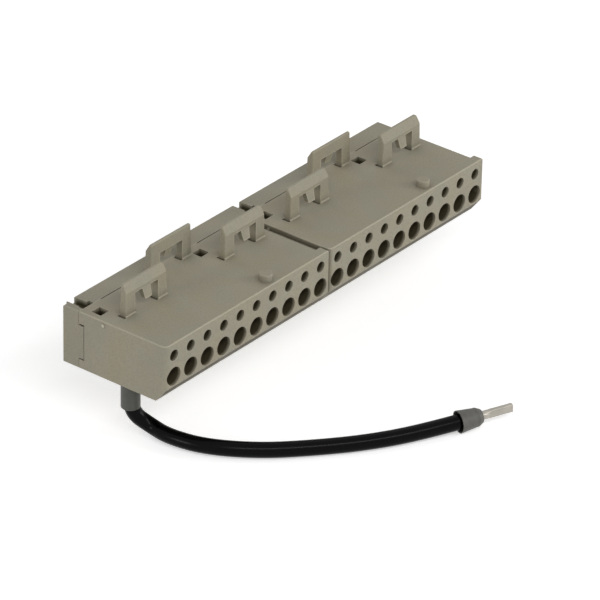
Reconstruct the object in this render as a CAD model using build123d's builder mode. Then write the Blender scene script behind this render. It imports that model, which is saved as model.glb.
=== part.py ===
from build123d import *
from math import pi, radians, tan
import os

os.makedirs("parts", exist_ok=True)

# Shunt terminal block: two ten-way modules side by side, hung under a base by their hooks.
# Origin: on the seat face (the top), straight above the wire entry of way 1.
# x runs along the ways, the screw holes face -y, +z points up towards the base. Millimetres.

# Ways
way_pitch = 5.08
ways_per_module = 10
end_margin = 2.54           # from a module's last way to its end
module_names = ("left", "right")

# Module body
module_gap = 0.48
module_height = 12.8
front_reach = 11.0          # from the wire entries to the front face
rear_reach = 15.6           # from the wire entries to the back of the cover
front_chamfer_depth = 2.45
front_chamfer_height = 3.2
corner_radius = 1.1
edge_radius = 0.3
rebate_width = 1.4          # step along the right end, behind the front lip
rebate_depth = 0.95
lip_depth = 2.3

# Rear cover
cover_depth = 4.5
cover_side = 1.4
cover_roof = 1.5
cover_floor = 1.3
cover_back = 1.4
flange_setbacks = (0.4, 0)  # of each module's left flange from the back
flange_radii = (0.5, 0.3)
bridge_gap = 0.06           # left between the first cover and the next one's flange
corner_wall = 0.5           # solid left corner, beyond the latch pocket
seam_width = 0.25
seam_depth = 0.4
seam_stretches = ((6.4, 10.6), (36.0, 13.4))  # from a module's left end, and their lengths
ear_reach = 1.2
ear_top = -3.2
ear_foot = 2.1              # from the underside up to the ear
ear_clearance = 0.12
ear_head_gap = 0.4
ear_chamfer = 0.15
notch_offset = 1.45
notch_width = 2.3
notch_depth = 1.45
notch_bend = (0.4, 0.7)     # shares of the notch's width and depth where its floor bends
well_offset = 1.2
well_depth = 2.6
latch_pocket_offset = 2.6
latch_pocket_length = 1.8
latch_pocket_width = 1.2
latch_pocket_depth = 4.6
fin_thickness = 1.4
fin_play = 0.2
fin_gap = 0.2
rib_drop = 1.2              # from the top of the shunt bar
rib_thickness = 1.2
rib_clearance = 0.15

# Holes and chambers of one way
screw_axis_z = -7.45
probe_axis_z = -2.74
access_diameter = 4.0
probe_diameter = 2.4
entry_clearance = 0.2
funnel_land = 0.2           # flat left between the funnels of neighbouring wire entries
chamber_width = 3.9
chamber_height = 5.4
channel_roof = 1.5
shoulder_wall = 0.8         # the screw's head rests on it
bar_clearance = 0.1

# Clamp screw
head_clearance = 0.2
head_thickness = 1.6
slot_width = 0.6
slot_depth = 0.9
slot_turn = 37              # each screw stands turned this much further than its neighbour
shank_diameter = 2.4
shank_clearance = 0.2
thread_clearance = 0.05
tip_gap = 0.05

# Clamp cage
cage_side_play = 0.15
cage_height_play = 0.4
cage_front_play = 0.12
cage_side = 0.45
cage_front_wall = 1.2
cage_rear_wall = 0.7
cage_inner_length = 5.0
cage_corner_radius = 0.3
cage_open_travel = 1.2      # how far the cage of an unused way has backed off

# Shunt bar
bar_thickness = 0.8
spine_height = 2.6
spine_overhang = 1.6
tab_play = 0.1
tab_end_gap = 0.5
tab_corner_radius = 0.4
clamp_clearance = 0.02

# Snap hooks on the seat face
hook_spacing = 3 * way_pitch
hook_shift = 0.15           # middle hook from the module's middle
hook_width = 12.7           # at the foot
hook_draft = 2.5            # degrees, of its sides
hook_height = 6.9
rear_hook_rise = 0.2
hook_thickness = 1.6
hook_window_width = 6.9
hook_window_height = 4.4
hook_bevel_depth = 1.0
hook_bevel_height = 1.7
hook_shoulder_radius = 0.6
rear_shoulder_radius = 0.35
hook_edge_radius = 0.25
hook_root_radius = 0.35
front_hook_y = 2.5
rear_hook_y = 9.0
tongue_top_width = 2.5
tongue_tip_width = 2.0
tongue_thickness = 1.15
tongue_tip_height = 2.1
tongue_lean = 0.75
tongue_root = 0.3
foot_slit_width = 0.55
foot_slit_length = 1.9
foot_slit_depth = 0.7

# Pockets, pip and gate mark
pocket_length = 2.5
pocket_width = 2.4
pocket_y = 7.9
pocket_places = ((0, 0.11), (6, 0.38))  # a way, and how far right of it the pocket lies
pip_diameter = 2.7
pip_height = 1.5
pip_edge = 0.2
pip_way = 6
pip_shift = 0.38
pip_y = -8.8
gate_diameter = 0.9
gate_height = 0.12
gate_y = 4.9
gate_z = -1.0

# Lead and its two ferrules
wire_diameter = 3.25
collar_clearance = 0.15
collar_wall = 0.2
collar_grip = 2.2
collar_edge = 0.15
collar_drop = 0.8           # from the housing's underside up to the top of the first collar
entry_collar_length = 6.5
barrel_diameter = 1.8
entry_barrel_length = 6.4
free_collar_length = 5.0
mouth_flare = 0.38
free_flare_length = 3.4
free_neck_length = 1.0
free_neck_inset = 0.5
free_barrel_length = 7.0
free_barrel_root = 0.8
blade_taper = 1.6
blade_height = 1.75
blade_thickness = 1.0
blade_edge_radius = 0.2

# Route of the lead's centre line, from inside the first collar to inside the last one
wire_route = [
    (0.0, 0.0, collar_drop - module_height - entry_collar_length + collar_grip),
    (0.0, 0.0, -19.7),
    (2.5, -3.4, -22.9),
    (1.8, -8.3, -23.0),
    (3.4, -16.2, -23.0),
    (9.1, -25.2, -23.0),
    (16.3, -32.2, -23.0),
    (25.0, -39.5, -22.9),
    (34.7, -45.5, -22.7),
    (44.2, -49.9, -22.35),
]
arc_share = 0.45            # of the shorter run, taken by the arc at each corner of the route

# Worked-out places
module_length = (ways_per_module - 1) * way_pitch + 2 * end_margin
module_spacing = module_length + module_gap
front_y = -front_reach
back_y = rear_reach
parting_y = back_y - cover_depth
cover_inner_y = back_y - cover_back
bottom_z = -module_height
ear_bottom = bottom_z + ear_foot
chamber_floor = screw_axis_z - chamber_height / 2
chamber_roof = screw_axis_z + chamber_height / 2

# Worked-out sizes of the ferrules' collars and the wire entries
collar_bore_diameter = wire_diameter + 2 * collar_clearance
collar_diameter = collar_bore_diameter + 2 * collar_wall
entry_diameter = collar_diameter + 2 * entry_clearance
entry_funnel = (way_pitch - entry_diameter - funnel_land) / 2
entry_collar_top = bottom_z + collar_drop
entry_collar_mouth = entry_collar_top - entry_collar_length
barrel_top = entry_collar_top + entry_barrel_length

# Worked-out parts of a clamp, from its chamber inwards
cage_width = chamber_width - 2 * cage_side_play
cage_height = chamber_height - 2 * cage_height_play
cage_length = cage_front_wall + cage_inner_length + cage_rear_wall
cage_hole_diameter = shank_diameter + 2 * thread_clearance
shank_hole_diameter = shank_diameter + 2 * shank_clearance
head_diameter = access_diameter - 2 * head_clearance
tab_width = cage_width - 2 * cage_side - 2 * tab_play
tab_tip_z = chamber_floor + tab_end_gap
tab_rear = -barrel_diameter / 2 - clamp_clearance
tab_front = tab_rear - bar_thickness
channel_front = tab_front - bar_clearance
spine_top = -channel_roof - bar_clearance
tight_cage_rear = -tab_rear + cage_rear_wall
chamber_front = tight_cage_rear - cage_length - cage_front_play
shoulder_y = chamber_front - shoulder_wall
head_front = shoulder_y - head_thickness
channel_overhang = chamber_width / 2

# Worked-out inside of the rear cover
fin_front = tight_cage_rear + cage_open_travel + fin_gap
fin_height = chamber_height - 2 * fin_play
rib_top = spine_top - rib_drop
solid_corner = latch_pocket_offset + latch_pocket_length + corner_wall


def module_left(index):
    return -end_margin + index * module_spacing


def way_places(index):
    first = module_left(index) + end_margin
    return [first + way * way_pitch for way in range(ways_per_module)]


def hook_places(index):
    # place along the ways, near face, height, shoulder, and the side faced: 1 the front, -1 the rear
    middle = module_left(index) + module_length / 2 + hook_shift
    rear_height = hook_height + rear_hook_rise
    return [
        (middle - hook_spacing, front_hook_y, hook_height, hook_shoulder_radius, 1),
        (middle, rear_hook_y, rear_height, rear_shoulder_radius, -1),
        (middle + hook_spacing, front_hook_y, hook_height, hook_shoulder_radius, 1),
    ]


def plan(height):
    return Plane.XY.offset(height)


def elevation(depth):
    return Plane.XZ.offset(-depth)


def section(place):
    return Plane.YZ.offset(place)


def is_hook_end(edge, hooks):
    offsets = [abs(edge.center().X - hook[0]) - hook_width / 2 for hook in hooks]
    along_depth = abs(edge.tangent_at(0).Y) > 0.99
    return edge.center().Z > 0 and not along_depth and min(map(abs, offsets)) < hook_shoulder_radius


def is_hook_foot(edge, hooks):
    middle = edge.center()
    return any(
        abs(middle.X - hook[0]) < hook_width / 2 + edge_radius
        and abs(middle.Y - hook[1] - hook_thickness / 2) < hook_thickness / 2 + edge_radius
        for hook in hooks
    )


corner = (Align.MIN, Align.MIN)

# Housings
for index, name in enumerate(module_names):
    left = module_left(index)
    right = left + module_length
    ways = way_places(index)
    hooks = hook_places(index)
    with BuildPart() as housing:
        # body, its left front corner rounded
        with BuildSketch(plan(bottom_z)) as outline:
            with Locations((left, front_y)):
                Rectangle(module_length, parting_y - front_y, align=corner)
            front_corners = outline.vertices().group_by(Axis.Y)[0]
            fillet(front_corners.sort_by(Axis.X)[0], corner_radius)
        extrude(amount=module_height)
        # chamfer under the front face
        with BuildSketch(section(left)):
            with BuildLine():
                Polyline(
                    (front_y, bottom_z),
                    (front_y + front_chamfer_depth, bottom_z),
                    (front_y, bottom_z + front_chamfer_height),
                    close=True,
                )
            make_face()
        extrude(amount=module_length, mode=Mode.SUBTRACT)
        # step along the right end
        with BuildSketch(plan(0)):
            with Locations((right - rebate_width, front_y + lip_depth)):
                Rectangle(rebate_width, parting_y - front_y - lip_depth, align=corner)
        extrude(amount=-rebate_depth, mode=Mode.SUBTRACT)
        top_edges = housing.faces().sort_by(Axis.Z)[-1].edges().sort_by(Axis.Y)
        fillet(top_edges[:-1], edge_radius)

        # snap hooks: an arch with rounded shoulders, its head bevelled on the side it faces
        for place, near_face, height, shoulder, facing in hooks:
            middle_y = near_face + hook_thickness / 2
            outer_face = middle_y - facing * hook_thickness / 2
            with BuildSketch(elevation(near_face + hook_thickness)) as arch:
                with Locations((place, 0)):
                    Trapezoid(hook_width, height, 90 - hook_draft, align=(Align.CENTER, Align.MIN))
                fillet(arch.vertices().group_by(Axis.Y)[-1], shoulder)
            extrude(amount=hook_thickness)
            with BuildSketch(section(place - hook_width / 2)):
                with BuildLine():
                    Polyline(
                        (outer_face, height - hook_bevel_height),
                        (outer_face, height),
                        (outer_face + facing * hook_bevel_depth, height),
                        close=True,
                    )
                make_face()
            extrude(amount=hook_width, mode=Mode.SUBTRACT)
        fillet(housing.edges().filter_by(lambda edge: is_hook_end(edge, hooks)), hook_edge_radius)
        # the window of each hook, and the springy tongue that leans out of it
        for place, near_face, _, _, facing in hooks:
            middle_y = near_face + hook_thickness / 2
            with BuildSketch(elevation(near_face + hook_thickness)):
                with Locations((place, 0)):
                    Rectangle(hook_window_width, hook_window_height, align=(Align.CENTER, Align.MIN))
            extrude(amount=hook_thickness, mode=Mode.SUBTRACT)
            with BuildSketch(plan(hook_window_height + tongue_root)):
                with Locations((place, middle_y)):
                    Rectangle(tongue_top_width, tongue_thickness)
            with BuildSketch(plan(tongue_tip_height)):
                with Locations((place, middle_y - facing * tongue_lean)):
                    Rectangle(tongue_tip_width, tongue_thickness)
            loft()
        # rounded roots of the legs
        feet = housing.edges().filter_by_position(Axis.Z, -edge_radius / 2, edge_radius / 2)
        fillet(feet.filter_by(lambda edge: is_hook_foot(edge, hooks)), hook_root_radius)
        # slits at the left foot of each leg
        for place, near_face, _, _, _ in hooks:
            middle_y = near_face + hook_thickness / 2
            left_foot = place - hook_width / 2 - foot_slit_width / 2
            right_foot = place + hook_window_width / 2 - foot_slit_width / 2
            with BuildSketch(plan(hook_root_radius)):
                with Locations((left_foot, middle_y), (right_foot, middle_y)):
                    Rectangle(foot_slit_width, foot_slit_length)
            extrude(amount=-hook_root_radius - foot_slit_depth, mode=Mode.SUBTRACT)

        # locating pip, and the moulding's gate mark on the left end
        with BuildSketch(plan(0)):
            with Locations((ways[pip_way] + pip_shift, pip_y)):
                Circle(pip_diameter / 2)
        extrude(amount=pip_height)
        pip_rim = housing.edges().filter_by_position(Axis.Z, pip_height - pip_edge, pip_height + pip_edge)
        fillet(pip_rim.filter_by(GeomType.CIRCLE), pip_edge)
        with BuildSketch(section(left)):
            with Locations((gate_y, gate_z)):
                Circle(gate_diameter / 2)
        extrude(amount=-gate_height)

        # shadow gap along the roof's rear edge
        for start, length in seam_stretches:
            with BuildSketch(plan(0)):
                with Locations((left + start, parting_y - seam_width)):
                    Rectangle(length, seam_width, align=corner)
            extrude(amount=-seam_depth, mode=Mode.SUBTRACT)
        # pockets through the roof
        with BuildSketch(plan(0)):
            with Locations(*[(ways[way] + shift, pocket_y) for way, shift in pocket_places]):
                Rectangle(pocket_length, pocket_width)
        extrude(amount=-channel_roof, mode=Mode.SUBTRACT)
        # channel of the shunt bar, open to the rear
        with BuildSketch(elevation(parting_y)):
            with Locations((ways[0] - channel_overhang, chamber_roof)):
                Rectangle(
                    ways[-1] - ways[0] + 2 * channel_overhang,
                    -channel_roof - chamber_roof,
                    align=corner,
                )
        extrude(amount=parting_y - channel_front, mode=Mode.SUBTRACT)
        # clamp chambers, open to the rear
        with BuildSketch(elevation(parting_y)):
            with Locations(*[(way, screw_axis_z) for way in ways]):
                Rectangle(chamber_width, chamber_height)
        extrude(amount=parting_y - chamber_front, mode=Mode.SUBTRACT)
        # screw access holes, and the smaller holes for the shanks behind them
        with BuildSketch(elevation(shoulder_y)):
            with Locations(*[(way, screw_axis_z) for way in ways]):
                Circle(access_diameter / 2)
        extrude(amount=shoulder_y - front_y, mode=Mode.SUBTRACT)
        with BuildSketch(elevation(chamber_front)):
            with Locations(*[(way, screw_axis_z) for way in ways]):
                Circle(shank_hole_diameter / 2)
        extrude(amount=chamber_front - shoulder_y, mode=Mode.SUBTRACT)
        # test probe holes, as far as the shunt bar
        with BuildSketch(elevation(channel_front)):
            with Locations(*[(way, probe_axis_z) for way in ways]):
                Circle(probe_diameter / 2)
        extrude(amount=channel_front - front_y, mode=Mode.SUBTRACT)
        # wire entries from below, with a small funnel
        with BuildSketch(plan(bottom_z)):
            with Locations(*[(way, 0) for way in ways]):
                Circle(entry_diameter / 2)
        extrude(amount=chamber_floor - bottom_z, mode=Mode.SUBTRACT)
        bottom_circles = housing.edges().filter_by(GeomType.CIRCLE).group_by(Axis.Z)[0]
        chamfer(bottom_circles, entry_funnel)
        # recesses for the ears of the rear cover
        ear_room = ear_reach + ear_clearance
        ear_bay = ear_top + ear_head_gap - ear_bottom + ear_clearance
        for end, inward in ((left, 1), (right, -1)):
            with BuildSketch(section(end)):
                with Locations((parting_y - ear_room, ear_bottom - ear_clearance)):
                    Rectangle(ear_room, ear_bay, align=corner)
            extrude(amount=inward * (cover_side + ear_clearance), mode=Mode.SUBTRACT)
    housing.part.label = f"housing_{name}"
    export_step(housing.part, f"parts/housing_{name}.step")

# Rear covers
for index, name in enumerate(module_names):
    left = module_left(index)
    right = left + module_length
    ways = way_places(index)
    with BuildPart() as cover:
        # left flange, its upper rear corner rounded
        with BuildSketch(section(left)) as flange:
            with Locations((parting_y, bottom_z)):
                Rectangle(cover_depth - flange_setbacks[index], module_height, align=corner)
            rear_corners = flange.vertices().group_by(Axis.X)[-1]
            fillet(rear_corners.sort_by(Axis.Y)[-1], flange_radii[index])
        extrude(amount=notch_offset)
        # tray behind the rest of the housing; the first one runs up to the next cover
        is_last = name == module_names[-1]
        tray_end = right if is_last else right + module_gap - bridge_gap
        with BuildSketch(section(left + notch_offset)) as tray:
            with Locations((parting_y, bottom_z)):
                Rectangle(cover_depth, module_height, align=corner)
            rear_corners = tray.vertices().group_by(Axis.X)[-1]
            fillet(rear_corners.sort_by(Axis.Y)[-1], edge_radius)
        extrude(amount=tray_end - left - notch_offset)
        with BuildSketch(elevation(parting_y)):
            with Locations((left + solid_corner, bottom_z + cover_floor)):
                Rectangle(
                    module_length - solid_corner - cover_side,
                    module_height - cover_floor - cover_roof,
                    align=corner,
                )
        extrude(amount=parting_y - cover_inner_y, mode=Mode.SUBTRACT)
        # step along the block's right end, in line with the housing's
        if is_last:
            with BuildSketch(plan(0)):
                with Locations((right - rebate_width, parting_y)):
                    Rectangle(rebate_width, cover_depth, align=corner)
            extrude(amount=-rebate_depth, mode=Mode.SUBTRACT)
        # notch beside the flange, its floor sinking in an arc away from it
        notch_left = left + notch_offset
        notch_right = notch_left + notch_width
        bend_x, bend_z = notch_bend
        with BuildSketch(elevation(back_y)):
            with BuildLine():
                ThreePointArc(
                    (notch_left, 0),
                    (notch_left + bend_x * notch_width, -bend_z * notch_depth),
                    (notch_right, -notch_depth),
                )
                Polyline((notch_right, -notch_depth), (notch_right, 0), (notch_left, 0))
            make_face()
        extrude(amount=cover_depth, mode=Mode.SUBTRACT)
        # ears that reach forward into the housing's ends
        for end, inward in ((left, 1), (right, -1)):
            with BuildSketch(section(end)):
                with Locations((parting_y - ear_reach, ear_bottom)):
                    Rectangle(ear_reach, ear_top - ear_bottom, align=corner)
            extrude(amount=inward * cover_side)
        # softened front edges of the left end
        rim = cover.edges().filter_by_position(Axis.X, left - ear_chamfer / 2, left + ear_chamfer / 2)
        chamfer(rim.filter_by(lambda edge: edge.center().Y < parting_y + ear_chamfer), ear_chamfer)
        # fins that keep the cages in their chambers
        with BuildSketch(elevation(fin_front)):
            with Locations(*[(way, screw_axis_z) for way in ways]):
                Rectangle(fin_thickness, fin_height)
        extrude(amount=fin_front - cover_inner_y)
        # rib that keeps the shunt bar forward
        rib_overhang = channel_overhang - rib_clearance
        with BuildSketch(elevation(tab_rear + rib_clearance)):
            with Locations((ways[0] - rib_overhang, rib_top - rib_thickness)):
                Rectangle(ways[-1] - ways[0] + 2 * rib_overhang, rib_thickness, align=corner)
        extrude(amount=tab_rear + rib_clearance - cover_inner_y)
        # deeper well at the front of the notch, and the latch pocket beside it
        with BuildSketch(plan(0)):
            with Locations((left + well_offset, parting_y)):
                Rectangle(notch_offset + notch_width - well_offset, latch_pocket_width, align=corner)
        extrude(amount=-well_depth, mode=Mode.SUBTRACT)
        with BuildSketch(plan(0)):
            with Locations((left + latch_pocket_offset, parting_y)):
                Rectangle(latch_pocket_length, latch_pocket_width, align=corner)
        extrude(amount=-latch_pocket_depth, mode=Mode.SUBTRACT)
    cover.part.label = f"rear_cover_{name}"
    export_step(cover.part, f"parts/rear_cover_{name}.step")

# Shunt bars: a spine behind the test holes, with a tab down into each clamp
for index, name in enumerate(module_names):
    ways = way_places(index)
    with BuildPart() as bar:
        with BuildSketch(elevation(tab_rear)) as comb:
            with Locations(*[(way, tab_tip_z) for way in ways]):
                Rectangle(tab_width, spine_top - tab_tip_z, align=(Align.CENTER, Align.MIN))
            with Locations((ways[0] - spine_overhang, spine_top - spine_height)):
                Rectangle(ways[-1] - ways[0] + 2 * spine_overhang, spine_height, align=corner)
            fillet(comb.vertices().group_by(Axis.Y)[0], tab_corner_radius)
        extrude(amount=bar_thickness)
    bar.part.label = f"shunt_bar_{name}"
    export_step(bar.part, f"parts/shunt_bar_{name}.step")

# Clamp screws, ten to a module
for index, name in enumerate(module_names):
    ways = way_places(index)
    with BuildPart() as screws:
        with BuildSketch(elevation(shoulder_y)):
            with Locations(*[(way, screw_axis_z) for way in ways]):
                Circle(head_diameter / 2)
        extrude(amount=head_thickness)
        with BuildSketch(elevation(tab_front - tip_gap)):
            with Locations(*[(way, screw_axis_z) for way in ways]):
                Circle(shank_diameter / 2)
        extrude(amount=tab_front - tip_gap - shoulder_y)
        with BuildSketch(elevation(head_front)):
            for count, way in enumerate(ways):
                with Locations((way, screw_axis_z)):
                    Rectangle(head_diameter, slot_width, rotation=count * slot_turn)
        extrude(amount=-slot_depth, mode=Mode.SUBTRACT)
    screws.part.label = f"clamp_screws_{name}"
    export_step(screws.part, f"parts/clamp_screws_{name}.step")

# Clamp cages: the first is drawn up on the lead's ferrule, the others stand open
all_ways = way_places(0) + way_places(1)
for count, way in enumerate(all_ways):
    cage_rear = tight_cage_rear if count == 0 else tight_cage_rear + cage_open_travel
    cage_front = cage_rear - cage_length
    with BuildPart() as cage:
        with BuildSketch(plan(screw_axis_z - cage_height / 2)) as ring:
            with Locations((way, cage_front)):
                Rectangle(cage_width, cage_length, align=(Align.CENTER, Align.MIN))
            fillet(ring.vertices(), cage_corner_radius)
            with Locations((way, cage_front + cage_front_wall)):
                Rectangle(
                    cage_width - 2 * cage_side,
                    cage_inner_length,
                    align=(Align.CENTER, Align.MIN),
                    mode=Mode.SUBTRACT,
                )
        extrude(amount=cage_height)
        with BuildSketch(elevation(cage_front + cage_front_wall)):
            with Locations((way, screw_axis_z)):
                Circle(cage_hole_diameter / 2)
        extrude(amount=cage_front_wall, mode=Mode.SUBTRACT)
    cage.part.label = f"clamp_cage_{count + 1:02d}"
    export_step(cage.part, f"parts/{cage.part.label}.step")

# Ferrule in the first wire entry: plastic collar over a round tinned barrel
with BuildPart() as entry_collar:
    with BuildSketch(plan(entry_collar_mouth)):
        Circle(collar_diameter / 2)
    extrude(amount=entry_collar_top - entry_collar_mouth)
    fillet(entry_collar.edges().filter_by(GeomType.CIRCLE), collar_edge)
    with BuildSketch(plan(entry_collar_mouth)):
        Circle(collar_bore_diameter / 2)
    extrude(amount=collar_grip, mode=Mode.SUBTRACT)
entry_collar.part.label = "entry_ferrule_collar"
export_step(entry_collar.part, "parts/entry_ferrule_collar.step")

with BuildPart() as entry_barrel:
    with BuildSketch(plan(entry_collar_top)):
        Circle(barrel_diameter / 2)
    extrude(amount=barrel_top - entry_collar_top)
    fillet(entry_barrel.edges().group_by(Axis.Z)[-1], collar_edge)
entry_barrel.part.label = "entry_ferrule_barrel"
export_step(entry_barrel.part, "parts/entry_ferrule_barrel.step")

# Lead: straight runs joined by arcs as large as the runs allow
runs = [Vector(*end) - Vector(*start) for start, end in zip(wire_route, wire_route[1:])]
radii = []
for before, after in zip(runs, runs[1:]):
    shorter = min(before.length, after.length)
    half_turn = radians(before.get_angle(after) / 2)
    radii.append(arc_share * shorter / tan(half_turn))
with BuildPart() as lead:
    with BuildLine() as path:
        FilletPolyline(*wire_route, radius=radii)
    with BuildSketch(Plane(origin=wire_route[0], z_dir=runs[0])):
        Circle(wire_diameter / 2)
    sweep(path=path.wires()[0])
lead.part.label = "lead_wire"
export_step(lead.part, "parts/lead_wire.step")
lead_length = path.wires()[0].length
print("lead radii", [round(radius, 1) for radius in radii])
print("lead length", round(lead_length, 2))
print("lead volume", round(lead.part.volume, 2), "expected", round(lead_length * pi * wire_diameter**2 / 4, 2))

# Ferrule on the free end, in line with the lead's last run
free_direction = runs[-1].normalized()
free_side = free_direction.cross(Vector(0, 0, 1)).normalized()
free_mouth = Vector(*wire_route[-1]) - free_direction * collar_grip


def across_free_end(distance):
    return Plane(origin=free_mouth + free_direction * distance, x_dir=free_side, z_dir=free_direction)


with BuildPart() as free_collar:
    with BuildSketch(Plane(origin=free_mouth, x_dir=free_side, z_dir=free_side.cross(free_direction))):
        with BuildLine():
            Polyline(
                (collar_bore_diameter / 2 + mouth_flare, 0),
                (collar_diameter / 2 + mouth_flare, 0),
                (collar_diameter / 2, free_flare_length),
                (collar_diameter / 2, free_collar_length - free_neck_length),
                (collar_diameter / 2 - free_neck_inset, free_collar_length),
                (0, free_collar_length),
                (0, collar_grip),
                (collar_bore_diameter / 2, collar_grip),
                close=True,
            )
        make_face()
    revolve(axis=Axis(free_mouth, free_direction))
free_collar.part.label = "free_ferrule_collar"
export_step(free_collar.part, "parts/free_ferrule_collar.step")

with BuildPart() as free_barrel:
    with BuildSketch(across_free_end(free_collar_length)):
        Circle(barrel_diameter / 2)
    extrude(amount=free_barrel_root)
    # crimped flat: from the round root to an upright blade
    with BuildSketch(across_free_end(free_collar_length + free_barrel_root)):
        Circle(barrel_diameter / 2)
    with BuildSketch(across_free_end(free_collar_length + free_barrel_root + blade_taper)):
        RectangleRounded(blade_thickness, blade_height, blade_edge_radius)
    loft()
    with BuildSketch(across_free_end(free_collar_length + free_barrel_root + blade_taper)):
        RectangleRounded(blade_thickness, blade_height, blade_edge_radius)
    extrude(amount=free_barrel_length - free_barrel_root - blade_taper)
free_barrel.part.label = "free_ferrule_barrel"
export_step(free_barrel.part, "parts/free_ferrule_barrel.step")
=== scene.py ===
from math import cos, radians, sin

import bpy
from mathutils import Matrix, Vector


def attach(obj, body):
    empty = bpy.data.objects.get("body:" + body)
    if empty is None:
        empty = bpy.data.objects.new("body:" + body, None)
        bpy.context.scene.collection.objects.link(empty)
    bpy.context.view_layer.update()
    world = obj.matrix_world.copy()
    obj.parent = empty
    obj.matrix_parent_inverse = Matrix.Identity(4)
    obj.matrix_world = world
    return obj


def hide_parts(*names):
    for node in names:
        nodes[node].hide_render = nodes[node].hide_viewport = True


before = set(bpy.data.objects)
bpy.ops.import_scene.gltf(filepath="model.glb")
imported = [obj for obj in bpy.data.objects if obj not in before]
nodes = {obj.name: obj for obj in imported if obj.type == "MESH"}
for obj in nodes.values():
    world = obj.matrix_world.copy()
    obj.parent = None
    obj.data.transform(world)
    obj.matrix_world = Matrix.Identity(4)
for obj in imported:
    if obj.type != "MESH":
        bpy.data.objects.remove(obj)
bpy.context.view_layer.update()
MM = 0.001
WHITE = (1.0, 1.0, 1.0, 1.0)

# Camera: the photograph's viewing angle, framing and long lens
AZIMUTH = radians(-51.992)
ELEVATION = radians(29.782)
ROLL = radians(1.218)
DISTANCE = 999.88 * MM
FOCAL_PX = 5149.3
IMAGE_PX = 600
SENSOR_MM = 36.0
CLIP_NEAR = 0.05
CLIP_FAR = 20.0
SIDE_SHIFT = 24.474 * MM
UP_SHIFT = 14.657 * MM
AIM = Vector((0, -11.0, -7.27)) * MM        # mouth of the first screw hole

# Block: its outer faces, and the open step along its right end
SEAT = 0.0
UNDERSIDE = -12.8 * MM
FRONT = -11.0 * MM
BACK = 15.6 * MM
STEP_WIDTH = 1.4 * MM
STEP_DEPTH = 0.95 * MM

# Recesses: painted shade inside each box of hollows; how far inside it starts and where it is at
# its darkest
RECESS_START = 0.35 * MM
RECESS_END = 1.0 * MM
RECESS_SHADE_TINT = (0.16, 0.14, 0.09)
HOLE_MOUTH = 0.2 * MM       # brings the dark of the holes nearer to the front face
THIN_WALL = 0.3 * MM        # and that of the last hole nearer to the right end
# Crevices: painted shade in tight inner corners, from ambient occlusion within this reach
CREVICE_REACH = 2.0 * MM
CREVICE_SHADE_SHARE = 0.55

# Rims: where and how much painted highlight makes the plastic paler along its edges
RIM_LIGHT = 1.4
RIM_HIGHLIGHT_SHARE = 0.8
SEAT_RIM_RADIUS = 0.45 * MM
SEAT_RIM_HEIGHT = 0.2 * MM
HOOK_RIM_RADIUS = 0.4 * MM
HOOK_RIM_HEIGHT = 0.4 * MM

# Gate mark: a painted highlight on each module's left end
GATE_LIGHT = 1.75
GATE_Y = 4.9 * MM
GATE_Z = -1.0 * MM
GATE_INNER = 0.2 * MM
GATE_OUTER = 0.45 * MM

# Lead: the centre line's points, in mm, are those of the CAD route
WIRE_DIAMETER = 3.25 * MM
WIRE_ROUTE = [
    (0.0, 0.0, -16.3),
    (0.0, 0.0, -19.7),
    (2.5, -3.4, -22.9),
    (1.8, -8.3, -23.0),
    (3.4, -16.2, -23.0),
    (9.1, -25.2, -23.0),
    (16.3, -32.2, -23.0),
    (25.0, -39.5, -22.9),
    (34.7, -45.5, -22.7),
    (44.2, -49.9, -22.35),
]
STEPS_ALONG = 24
STEPS_AROUND = 8

# Floor, just under the lead, and world
FLOOR_HEIGHT = -24.8 * MM
FLOOR_HALF = 3.0
FLOOR_COLOUR = (0.9, 0.9, 0.9, 1.0)
FLOOR_LIFT = 0.5
WORLD_LIGHT = 0.3

# Lamps: name, place and size in metres, the way of the long side, and watts
LAMP_TARGET = Vector((0.045, -0.01, -0.01))        # middle of the block
LAMPS = [
    ("strip", (-0.394, -0.741, 0.905), 1.25, 0.14, (0.874, -0.485, 0.03), 5.5),
    ("key", (0.75, -0.95, 0.35), 0.5, 0.5, (0, 0, 1), 4.4),
    ("left", (-1.1, 0.25, 0.25), 0.3, 0.3, (0, 0, 1), 2.0),
    ("back", (0.3, 1.1, 0.45), 0.6, 0.6, (1, 0, 0), 2.0),
]


def linear(red, green, blue):
    """A display colour, 0 to 255, as the linear colour that the shader takes."""
    channels = []
    for value in (red, green, blue):
        value /= 255
        channels.append(value / 12.92 if value <= 0.04045 else ((value + 0.055) / 1.055) ** 2.4)
    return (*channels, 1.0)


def scaled(tint, factors):
    """A tint with each channel times its own factor."""
    return (*(channel * factor for channel, factor in zip(tint[:3], factors)), 1.0)


def shade(tint, factor):
    """A darker or paler tint."""
    return (*(min(1.0, channel * factor) for channel in tint[:3]), 1.0)


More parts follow.
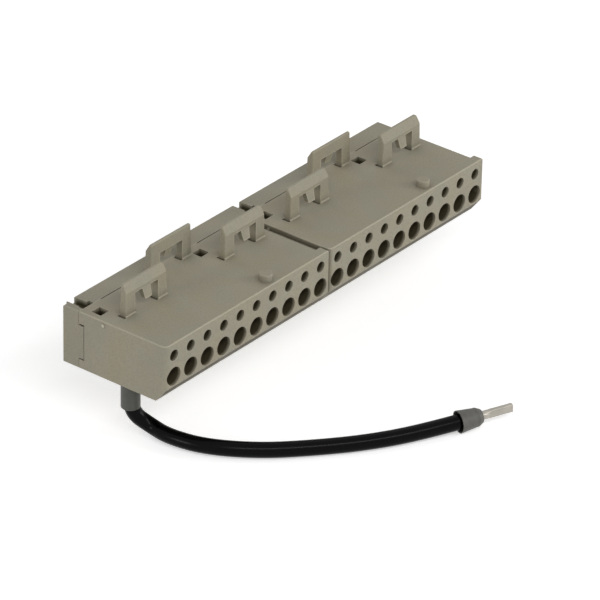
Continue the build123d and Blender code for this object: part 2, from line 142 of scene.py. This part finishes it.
class Surface:
    """A node material on object coordinates, whose bumps are chained one after another."""

    def __init__(self, name, roughness, metallic=0.0, specular=0.5):
        self.material = bpy.data.materials.new(name)
        self.material.use_nodes = True
        self.tree = self.material.node_tree
        self.shader = self.tree.nodes["Principled BSDF"]
        self.shader.inputs["Roughness"].default_value = roughness
        self.shader.inputs["Metallic"].default_value = metallic
        self.shader.inputs["Specular IOR Level"].default_value = specular
        self.coordinates = self.tree.nodes.new("ShaderNodeTexCoord").outputs["Object"]
        self.last_bump = None

    def link(self, source, target):
        self.tree.links.new(source, target)

    def stretched(self, scale):
        """The coordinates times a factor for each axis."""
        mapping = self.tree.nodes.new("ShaderNodeMapping")
        mapping.inputs["Scale"].default_value = scale
        self.link(self.coordinates, mapping.inputs["Vector"])
        return mapping.outputs["Vector"]

    def along(self, vector):
        """The X, Y and Z of a vector."""
        node = self.tree.nodes.new("ShaderNodeSeparateXYZ")
        self.link(vector, node.inputs[0])
        return node.outputs

    def noise(self, size, detail=3.0, vector=None):
        node = self.tree.nodes.new("ShaderNodeTexNoise")
        node.inputs["Scale"].default_value = 1.0 / size
        node.inputs["Detail"].default_value = detail
        self.link(vector or self.coordinates, node.inputs["Vector"])
        return node.outputs["Fac"]

    def ramp(self, source, stops):
        node = self.tree.nodes.new("ShaderNodeValToRGB")
        elements = node.color_ramp.elements
        for element, (place, colour) in zip(elements, (stops[0], stops[-1])):
            element.position = place
            element.color = colour
        for place, colour in stops[1:-1]:
            elements.new(place).color = colour
        self.link(source, node.inputs["Fac"])
        return node.outputs["Color"]

    def band(self, source, low, high, to_low, to_high):
        """Spreads low to high of the source over to_low to to_high, and holds it beyond."""
        node = self.tree.nodes.new("ShaderNodeMapRange")
        node.inputs["From Min"].default_value = low
        node.inputs["From Max"].default_value = high
        node.inputs["To Min"].default_value = to_low
        node.inputs["To Max"].default_value = to_high
        self.link(source, node.inputs["Value"])
        return node.outputs["Result"]

    def mixed(self, first, second, factor):
        """The first colour at factor 0, the second at 1."""
        node = self.tree.nodes.new("ShaderNodeMix")
        node.data_type = "RGBA"
        self.link(factor, node.inputs["Factor"])
        for value, socket in ((first, node.inputs["A"]), (second, node.inputs["B"])):
            if isinstance(value, tuple):
                socket.default_value = value
            else:
                self.link(value, socket)
        return node.outputs["Result"]

    def combined(self, operation, factors):
        result = factors[0]
        for factor in factors[1:]:
            node = self.tree.nodes.new("ShaderNodeMath")
            node.operation = operation
            self.link(result, node.inputs[0])
            self.link(factor, node.inputs[1])
            result = node.outputs[0]
        return result

    def product(self, factors):
        return self.combined("MULTIPLY", factors)

    def largest(self, factors):
        return self.combined("MAXIMUM", factors)

    def inside(self, low, high, start, end):
        """1 where a point lies deeper than end inside the box, 0 nearer than start to a face."""
        factors = []
        for place, bottom, top in zip(self.along(self.coordinates), low, high):
            factors.append(self.band(place, bottom + start, bottom + end, 0.0, 1.0))
            factors.append(self.band(place, top - start, top - end, 0.0, 1.0))
        return self.product(factors)

    def near(self, place, inner, outer):
        """1 within the inner distance of a place, 0 beyond the outer."""
        node = self.tree.nodes.new("ShaderNodeVectorMath")
        node.operation = "DISTANCE"
        node.inputs[1].default_value = place
        self.link(self.coordinates, node.inputs[0])
        return self.band(node.outputs["Value"], inner, outer, 1.0, 0.0)

    def crevice_shade(self, reach):
        """1 in tight inner corners, 0 in the open: the mask of the painted crevice shade."""
        node = self.tree.nodes.new("ShaderNodeAmbientOcclusion")
        node.samples = 6
        node.inputs["Distance"].default_value = reach
        return self.band(node.outputs["AO"], 0.35, 0.92, 1.0, 0.0)

    def softened(self, radius):
        """The surface's normal as it would be with rounded edges."""
        node = self.tree.nodes.new("ShaderNodeBevel")
        node.samples = 6
        node.inputs["Radius"].default_value = radius
        return node.outputs["Normal"]

    def upper_rims(self, radius, height):
        """1 along the edges of upward faces, up to a height, and 0 on the faces themselves."""
        lean = self.along(self.softened(radius))["Z"]
        return self.product([
            self.band(lean, 0.25, 0.5, 0.0, 1.0),
            self.band(lean, 0.82, 0.97, 1.0, 0.0),
            self.band(self.along(self.coordinates)["Z"], height, 2 * height, 1.0, 0.0),
        ])

    def hook_highlights(self, radius, height):
        """1 along every edge that stands higher than the given height, and 0 on the faces."""
        face = self.tree.nodes.new("ShaderNodeNewGeometry")
        agreement = self.tree.nodes.new("ShaderNodeVectorMath")
        agreement.operation = "DOT_PRODUCT"
        self.link(self.softened(radius), agreement.inputs[0])
        self.link(face.outputs["Normal"], agreement.inputs[1])
        return self.product([
            self.band(agreement.outputs["Value"], 0.93, 0.985, 1.0, 0.0),
            self.band(self.along(self.coordinates)["Z"], height, 2 * height, 0.0, 1.0),
        ])

    def colour(self, source):
        self.link(source, self.shader.inputs["Base Color"])

    def roughness(self, source):
        self.link(source, self.shader.inputs["Roughness"])

    def bump(self, height, depth, strength=1.0):
        node = self.tree.nodes.new("ShaderNodeBump")
        node.inputs["Distance"].default_value = depth
        node.inputs["Strength"].default_value = strength
        self.link(height, node.inputs["Height"])
        if self.last_bump:
            self.link(self.last_bump, node.inputs["Normal"])
        self.last_bump = node.outputs["Normal"]
        self.link(self.last_bump, self.shader.inputs["Normal"])


def moulded_plastic(name, tint, hollows, gate):
    """Matt grey-beige thermoplastic: fine spark-eroded grain, faint clouding from the flow,
    painted highlights along the rims, painted shade in crevices and inside the boxes of hollows,
    and a painted highlight on the gate mark."""
    surface = Surface(name, roughness=0.62, specular=0.38)
    clouds = surface.noise(9 * MM, detail=4)
    patches = surface.noise(6 * MM, detail=2)
    speckle = surface.noise(0.35 * MM, detail=2)
    # ambient occlusion mask for the painted crevice shade
    crevice_shade = surface.crevice_shade(CREVICE_REACH)
    # where the painted shade of the recesses and holes lies
    recess_shade = surface.largest([
        surface.inside(low, high, RECESS_START, RECESS_END) for low, high in hollows
    ])
    # masks of the painted highlights along the edges of the seat and of the hooks
    seat_highlights = surface.product([
        surface.upper_rims(SEAT_RIM_RADIUS, SEAT_RIM_HEIGHT),
        surface.band(crevice_shade, 0.2, 0.6, 1.0, 0.0),
        surface.band(recess_shade, 0.0, 0.2, 1.0, 0.0),
    ])
    hook_highlights = surface.product([
        surface.hook_highlights(HOOK_RIM_RADIUS, HOOK_RIM_HEIGHT),
        surface.band(crevice_shade, 0.5, 0.9, 1.0, 0.0),
    ])

    warm = scaled(tint, (1.06, 0.98, 0.9))
    # tint of the painted highlight along the rims
    painted_highlight = shade(tint, RIM_LIGHT)
    # tint of the painted shade in recesses and crevices
    painted_shade = scaled(tint, RECESS_SHADE_TINT)
    base = surface.ramp(clouds, [(0.3, shade(tint, 0.92)), (0.5, tint), (0.72, shade(tint, 1.07))])
    base = surface.mixed(base, warm, surface.band(patches, 0.4, 0.65, 0.0, 0.6))
    base = surface.mixed(base, shade(tint, 0.8), surface.band(speckle, 0.45, 0.75, 0.0, 0.8))
    # painted highlight along the upper edges of the seat and of the hooks
    base = surface.mixed(base, painted_highlight, surface.band(seat_highlights, 0.0, 1.0, 0.0, RIM_HIGHLIGHT_SHARE))
    base = surface.mixed(base, painted_highlight, surface.band(hook_highlights, 0.0, 1.0, 0.0, RIM_HIGHLIGHT_SHARE))
    # painted shade in crevices, tight corners and around the feet of the hooks
    base = surface.mixed(base, painted_shade, surface.band(crevice_shade, 0.0, 1.0, 0.0, CREVICE_SHADE_SHARE))
    # painted shade inside the recesses and holes
    base = surface.mixed(base, painted_shade, recess_shade)
    # painted highlight on the gate mark
    gate_highlight = surface.near(gate, GATE_INNER, GATE_OUTER)
    surface.colour(surface.mixed(base, shade(tint, GATE_LIGHT), gate_highlight))
    surface.roughness(surface.band(clouds, 0.3, 0.7, 0.56, 0.7))
    surface.bump(surface.noise(0.12 * MM, detail=2), 0.006 * MM)
    surface.bump(surface.noise(4.5 * MM, detail=1), 0.03 * MM, strength=0.5)
    return surface.material


def plated_steel(name, bright, dull):
    """Zinc plating with a passivated, slightly mottled film."""
    surface = Surface(name, roughness=0.4, metallic=1.0)
    film = surface.noise(0.9 * MM, detail=4)
    surface.colour(surface.ramp(film, [(0.35, dull), (0.65, bright)]))
    surface.roughness(surface.band(film, 0.3, 0.7, 0.34, 0.5))
    surface.bump(surface.noise(0.1 * MM, detail=2), 0.004 * MM)
    return surface.material


def stamped_brass():
    """Rolled strip: grain lines along the ways, and a little tarnish."""
    surface = Surface("shunt_brass", roughness=0.34, metallic=1.0)
    tarnish = surface.noise(2.2 * MM, detail=4)
    dull, bright = linear(150, 118, 66), linear(206, 170, 104)
    surface.colour(surface.ramp(tarnish, [(0.35, dull), (0.65, bright)]))
    rolled = surface.stretched((0.06, 1.0, 1.0))
    surface.bump(surface.noise(0.06 * MM, detail=2, vector=rolled), 0.003 * MM)
    return surface.material


def wire_insulation():
    """Black flexible PVC: half gloss, with a faint wave from the strands and fine dust."""
    surface = Surface("wire_insulation", roughness=0.25, specular=0.08)
    dust = surface.noise(0.5 * MM, detail=5)
    surface.colour(surface.ramp(dust, [(0.45, linear(3, 3, 4)), (0.75, linear(8, 8, 9))]))
    surface.roughness(surface.band(dust, 0.4, 0.75, 0.2, 0.26))
    surface.bump(surface.noise(2.5 * MM, detail=1), 0.012 * MM, strength=0.5)
    return surface.material


def ferrule_plastic(name, tint):
    """Thin grey polypropylene, satin, a little paler where it is stressed."""
    surface = Surface(name, roughness=0.48, specular=0.45)
    stress = surface.noise(1.5 * MM, detail=3)
    surface.colour(surface.ramp(stress, [(0.3, shade(tint, 0.86)), (0.7, shade(tint, 1.18))]))
    surface.roughness(surface.band(stress, 0.3, 0.7, 0.42, 0.55))
    surface.bump(surface.noise(0.1 * MM, detail=2), 0.004 * MM)
    return surface.material


def tinned_copper():
    """Tin plate pressed smooth by the crimp, with a soft wear pattern."""
    surface = Surface("tinned_copper", roughness=0.3, metallic=1.0)
    wear = surface.noise(3.0 * MM, detail=1)
    dull, bright = linear(160, 156, 147), linear(178, 173, 164)
    surface.colour(surface.ramp(wear, [(0.3, dull), (0.7, bright)]))
    surface.roughness(surface.band(wear, 0.3, 0.7, 0.3, 0.4))
    return surface.material


def paint(node_name, material):
    """Gives a CAD node its material."""
    mesh = nodes[node_name].data
    mesh.materials.clear()
    mesh.materials.append(material)


def ends(node_name):
    """The two ends of a node along the ways."""
    places = [corner[0] for corner in nodes[node_name].bound_box]
    return min(places), max(places)


def plain_view(tree):
    """1 for a ray from the camera, a mirrored one and one through a clear piece, else 0."""
    rays = tree.nodes.new("ShaderNodeLightPath")
    seen = rays.outputs["Is Camera Ray"]
    for kind in ("Is Glossy Ray", "Is Transmission Ray"):
        either = tree.nodes.new("ShaderNodeMath")
        either.operation = "MAXIMUM"
        tree.links.new(seen, either.inputs[0])
        tree.links.new(rays.outputs[kind], either.inputs[1])
        seen = either.outputs[0]
    return seen


def soft_lamp(name, place, length, width, long_side, power):
    """An area lamp that looks at the middle of the block, its long side turned the given way."""
    data = bpy.data.lights.new(name, "AREA")
    data.shape = "RECTANGLE"
    data.size = length
    data.size_y = width
    data.energy = power
    lamp = bpy.data.objects.new(name, data)
    beam_back = (Vector(place) - LAMP_TARGET).normalized()
    across = beam_back.cross(Vector(long_side)).normalized()
    along = across.cross(beam_back)
    turn = Matrix((along, across, beam_back)).transposed()
    lamp.matrix_world = Matrix.Translation(place) @ turn.to_4x4()
    bpy.context.scene.collection.objects.link(lamp)


# Camera
back = Vector((
    sin(AZIMUTH) * cos(ELEVATION),
    -cos(AZIMUTH) * cos(ELEVATION),
    sin(ELEVATION),
))
level_right = Vector((0, 0, 1)).cross(back).normalized()
level_up = back.cross(level_right)
camera_right = cos(ROLL) * level_right + sin(ROLL) * level_up
camera_up = cos(ROLL) * level_up - sin(ROLL) * level_right
camera_place = AIM + SIDE_SHIFT * camera_right + UP_SHIFT * camera_up + DISTANCE * back
camera_turn = Matrix((camera_right, camera_up, back)).transposed()
camera_data = bpy.data.cameras.new("camera")
camera_data.sensor_width = SENSOR_MM
camera_data.lens = FOCAL_PX * SENSOR_MM / IMAGE_PX
camera_data.clip_start = CLIP_NEAR
camera_data.clip_end = CLIP_FAR
camera = bpy.data.objects.new("camera", camera_data)
camera.matrix_world = Matrix.Translation(camera_place) @ camera_turn.to_4x4()
bpy.context.scene.collection.objects.link(camera)
bpy.context.scene.camera = camera

# Lead
route = [Vector(point) * MM for point in WIRE_ROUTE]
lead_curve = bpy.data.curves.new("lead", "CURVE")
lead_curve.dimensions = "3D"
lead_line = lead_curve.splines.new("NURBS")
lead_line.points.add(len(route) - 1)
for control, place in zip(lead_line.points, route):
    control.co = (*place, 1.0)
lead_line.order_u = 3
lead_line.use_endpoint_u = True
lead_line.resolution_u = STEPS_ALONG
lead_curve.bevel_depth = WIRE_DIAMETER / 2
lead_curve.bevel_resolution = STEPS_AROUND
lead_curve.use_fill_caps = True
lead_curve.materials.append(wire_insulation())
lead = bpy.data.objects.new("lead", lead_curve)
bpy.context.scene.collection.objects.link(lead)
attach(lead, "root")
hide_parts("lead_wire")

# Finishes of the CAD pieces
body_tint = linear(158, 153, 135)
cover_tint = linear(153, 149, 132)
screw_steel = plated_steel("screw_steel", linear(150, 140, 150), linear(96, 88, 98))
cage_steel = plated_steel("cage_steel", linear(176, 176, 178), linear(128, 128, 132))
brass = stamped_brass()
tin = tinned_copper()
for side in ("left", "right"):
    left_end, right_end = ends(f"rear_cover_{side}")
    low = (left_end, FRONT - HOLE_MOUTH, UNDERSIDE)
    hollows = [(low, (right_end, BACK, SEAT))]
    if side == "right":
        # the step along the open right end lies in plain sight, so the painted shade is kept off
        # it
        hollows = [
            (low, (right_end - STEP_WIDTH, BACK, SEAT)),
            (low, (right_end + THIN_WALL, BACK, SEAT - STEP_DEPTH)),
        ]
    gate = (left_end, GATE_Y, GATE_Z)
    housing = moulded_plastic(f"moulded_body_{side}", body_tint, hollows, gate)
    cover = moulded_plastic(f"moulded_cover_{side}", cover_tint, hollows, gate)
    paint(f"housing_{side}", housing)
    paint(f"rear_cover_{side}", cover)
    paint(f"clamp_screws_{side}", screw_steel)
    paint(f"shunt_bar_{side}", brass)
for name in nodes:
    if name.startswith("clamp_cage"):
        paint(name, cage_steel)
# the entry collar's grey is darker than the free one's: painted shade for the shadow of the block
# it sits under
paint("entry_ferrule_collar", ferrule_plastic("entry_ferrule_shaded_grey", linear(76, 76, 70)))
paint("free_ferrule_collar", ferrule_plastic("free_ferrule_grey", linear(89, 88, 83)))
paint("entry_ferrule_barrel", tin)
paint("free_ferrule_barrel", tin)

# Floor: white to the camera and in reflections, so that only the soft shadow shows
floor_mesh = bpy.data.meshes.new("floor")
floor_mesh.from_pydata(
    [
        (-FLOOR_HALF, -FLOOR_HALF, FLOOR_HEIGHT),
        (FLOOR_HALF, -FLOOR_HALF, FLOOR_HEIGHT),
        (FLOOR_HALF, FLOOR_HALF, FLOOR_HEIGHT),
        (-FLOOR_HALF, FLOOR_HALF, FLOOR_HEIGHT),
    ],
    [],
    [(0, 1, 2, 3)],
)
floor = bpy.data.objects.new("floor", floor_mesh)
bpy.context.scene.collection.objects.link(floor)
floor_surface = Surface("floor", roughness=0.9, specular=0.1)
floor_surface.shader.inputs["Base Color"].default_value = FLOOR_COLOUR
floor_surface.shader.inputs["Emission Color"].default_value = WHITE
lift = floor_surface.tree.nodes.new("ShaderNodeMath")
lift.operation = "MULTIPLY"
lift.inputs[1].default_value = FLOOR_LIFT
floor_surface.link(plain_view(floor_surface.tree), lift.inputs[0])
floor_surface.link(lift.outputs[0], floor_surface.shader.inputs["Emission Strength"])
floor_mesh.materials.append(floor_surface.material)

# World: even white light, pure white to the camera and in reflections
world = bpy.data.worlds.new("world")
bpy.context.scene.world = world
world.use_nodes = True
world_tree = world.node_tree
sky = world_tree.nodes["Background"]
sky.inputs["Color"].default_value = WHITE
sky.inputs["Strength"].default_value = WORLD_LIGHT
white = world_tree.nodes.new("ShaderNodeBackground")
white.inputs["Color"].default_value = WHITE
white.inputs["Strength"].default_value = 1.0
chooser = world_tree.nodes.new("ShaderNodeMixShader")
world_output = world_tree.nodes["World Output"]
world_tree.links.new(plain_view(world_tree), chooser.inputs["Fac"])
world_tree.links.new(sky.outputs["Background"], chooser.inputs[1])
world_tree.links.new(white.outputs["Background"], chooser.inputs[2])
world_tree.links.new(chooser.outputs["Shader"], world_output.inputs["Surface"])

for lamp_values in LAMPS:
    soft_lamp(*lamp_values)

bpy.context.scene.view_settings.view_transform = "Standard"
